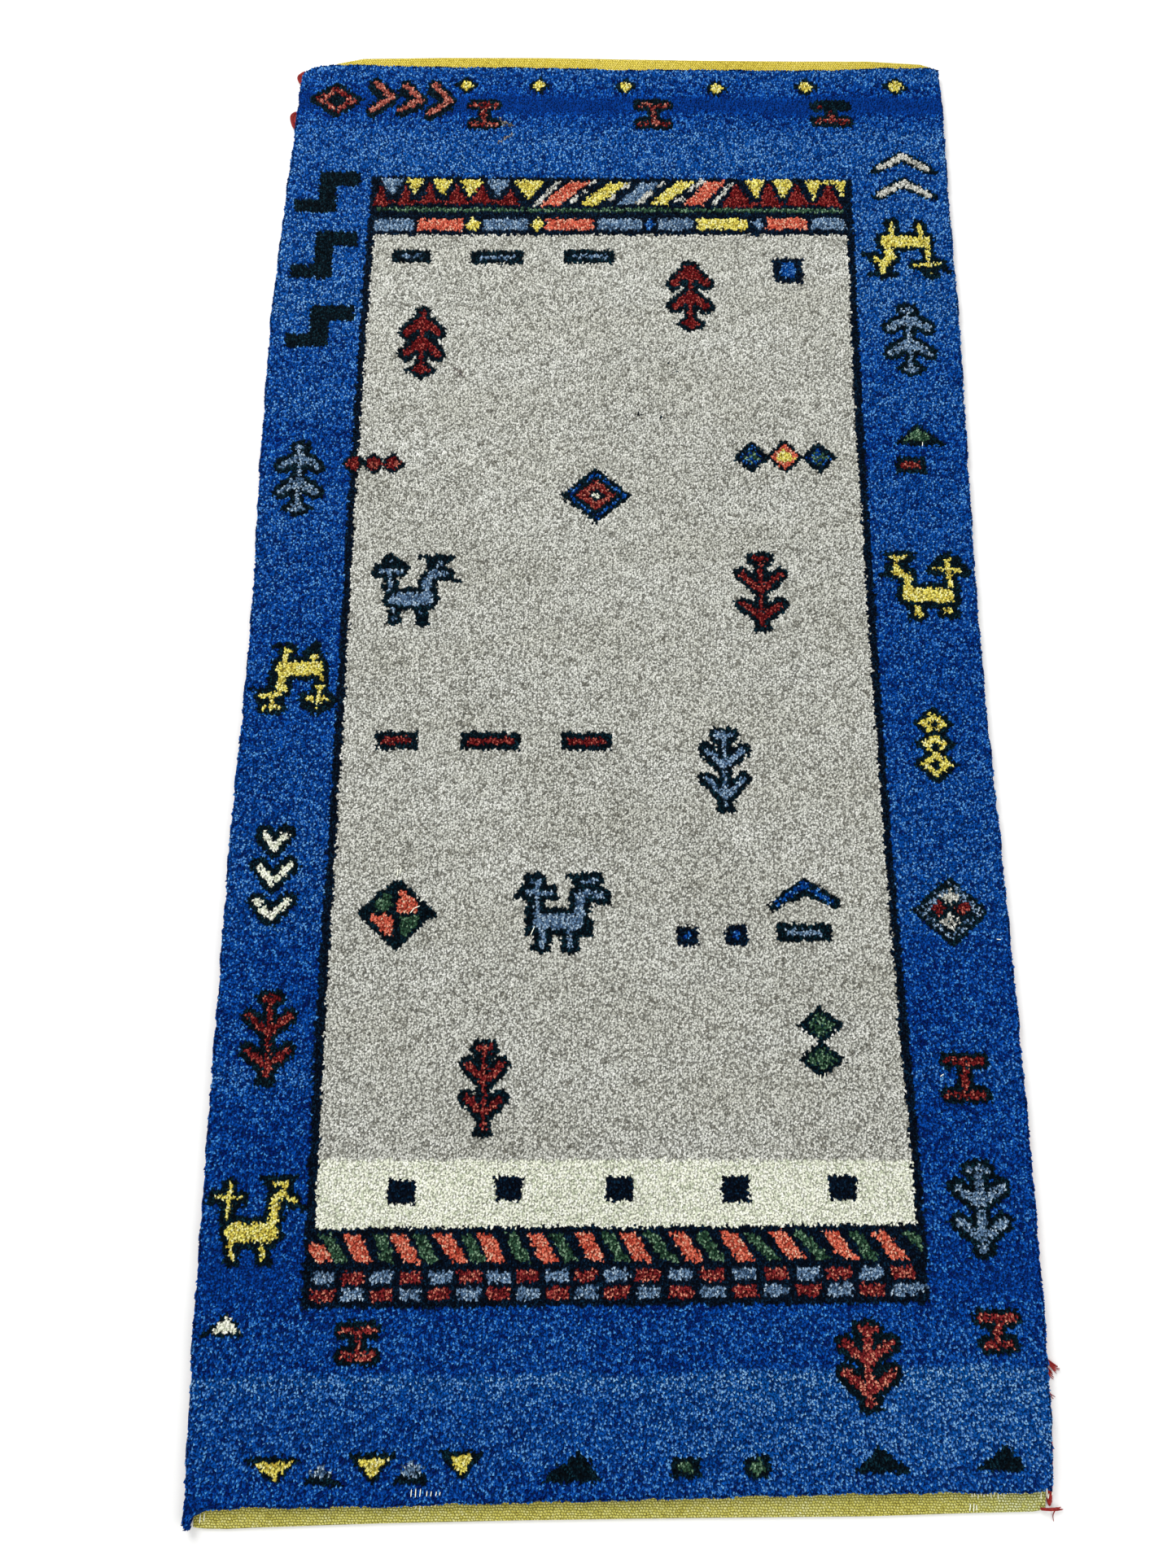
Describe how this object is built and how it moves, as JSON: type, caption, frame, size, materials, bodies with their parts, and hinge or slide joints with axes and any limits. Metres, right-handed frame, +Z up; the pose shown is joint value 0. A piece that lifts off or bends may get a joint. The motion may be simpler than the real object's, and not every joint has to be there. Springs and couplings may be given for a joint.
{
  "type": "gabbeh rug",
  "caption": "Small hand-knotted wool rug lying flat, with a blue border round a pale field, small motifs, plain woven ends and wrapped side cords.",
  "frame": {"origin": "on the rug's underside, in the middle of the rug", "axes": "+Y along the rug's length, away from the end with the wider plain woven strip; +X across it; +Z up out of the pile"},
  "size_m": [0.7175, 1.432, 0.012],
  "materials": {
    "weave": "matte",
    "selvedge": "matte",
    "pile_blue": "matte",
    "pile_field": "matte",
    "pile_cream": "matte",
    "pile_navy": "matte",
    "pile_red": "matte",
    "pile_coral": "matte",
    "pile_yellow": "matte",
    "pile_steel": "matte",
    "pile_green": "matte"
  },
  "bodies": {
    "root": {"ground_weave": "weave", "pile": "pile_blue", "selvedge_left": "selvedge", "selvedge_right": "selvedge"}
  },
  "joints": []
}
